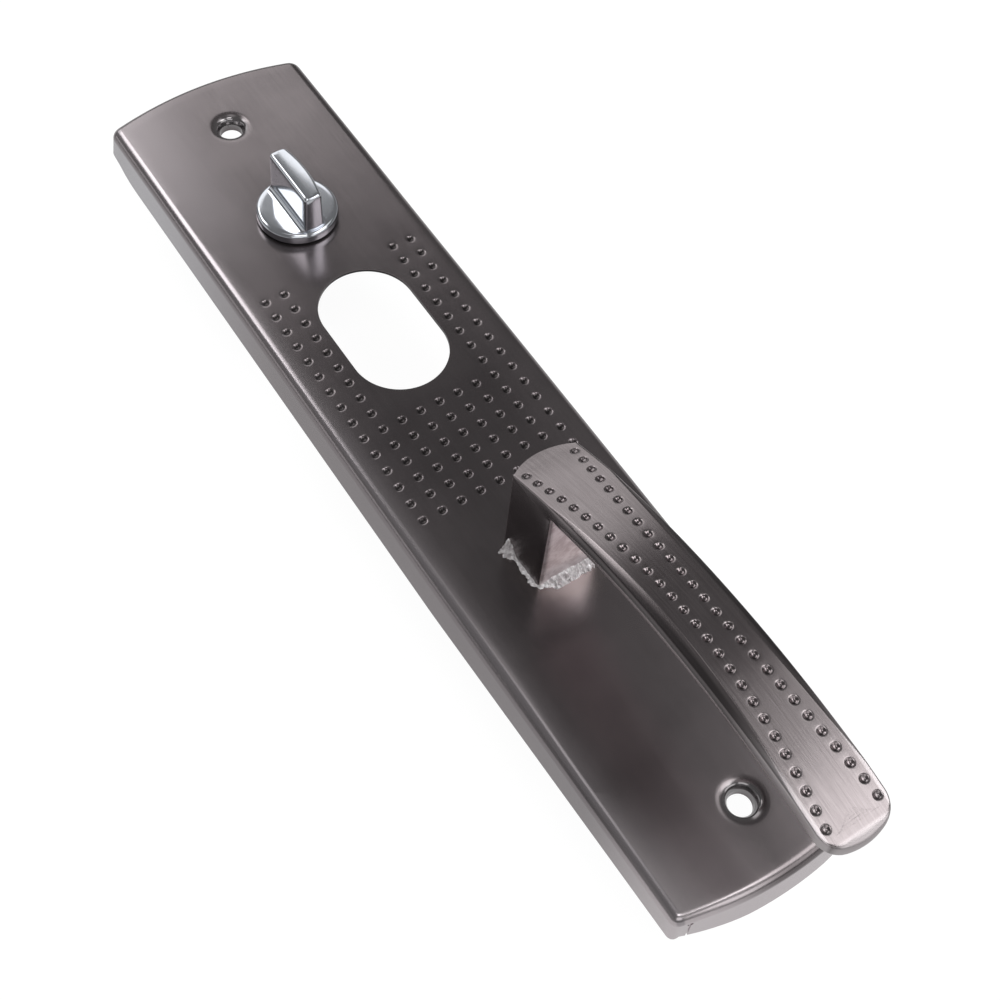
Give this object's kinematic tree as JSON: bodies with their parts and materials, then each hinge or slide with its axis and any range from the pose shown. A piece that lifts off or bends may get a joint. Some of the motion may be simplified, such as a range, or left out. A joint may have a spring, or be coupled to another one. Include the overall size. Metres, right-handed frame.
{
  "type": "security door handle",
  "caption": "Inside face plate of a security door with a welded arched pull handle, a thumb-turn, a lock opening, dished screw seats and fields of pressed dots.",
  "frame": {"origin": "middle of the face plate, on the plane of its rim's back edge, which lies on the door", "axes": "+Z out of the door towards the user, +Y along the plate to the thumb-turn end, +X across the plate"},
  "size_m": [0.0622, 0.288, 0.0776],
  "materials": {
    "dark_brushed_sheet": "satin black-nickel plating over brushed steel sheet",
    "dark_brushed_bar": "satin black-nickel plating, brushed along the grip",
    "weld_metal": "rough bright weld crust, unground",
    "polished_chrome": "polished chrome plating on die-cast zinc",
    "black_nylon": "moulded black nylon",
    "zinc_plated_steel": "zinc plating",
    "spring_steel": "oiled dark spring steel"
  },
  "bodies": {
    "plate": {"face_plate": "dark_brushed_sheet", "pull_handle": "dark_brushed_bar", "weld_crust": "weld_metal", "knob_bush": "black_nylon", "flat_washer": "zinc_plated_steel"},
    "thumb_turn": {"thumb_turn_knob": "polished_chrome", "spindle": "zinc_plated_steel", "spindle_pin": "spring_steel", "retaining_ring": "spring_steel", "spring_washer": "spring_steel"}
  },
  "joints": [
    {"name": "thumb_turn_hinge", "type": "hinge", "parent": "plate", "child": "thumb_turn", "pos_m": [0, 0.081, 0.01165], "axis": [0, 0, 1], "range_deg": [0, 90]}
  ]
}
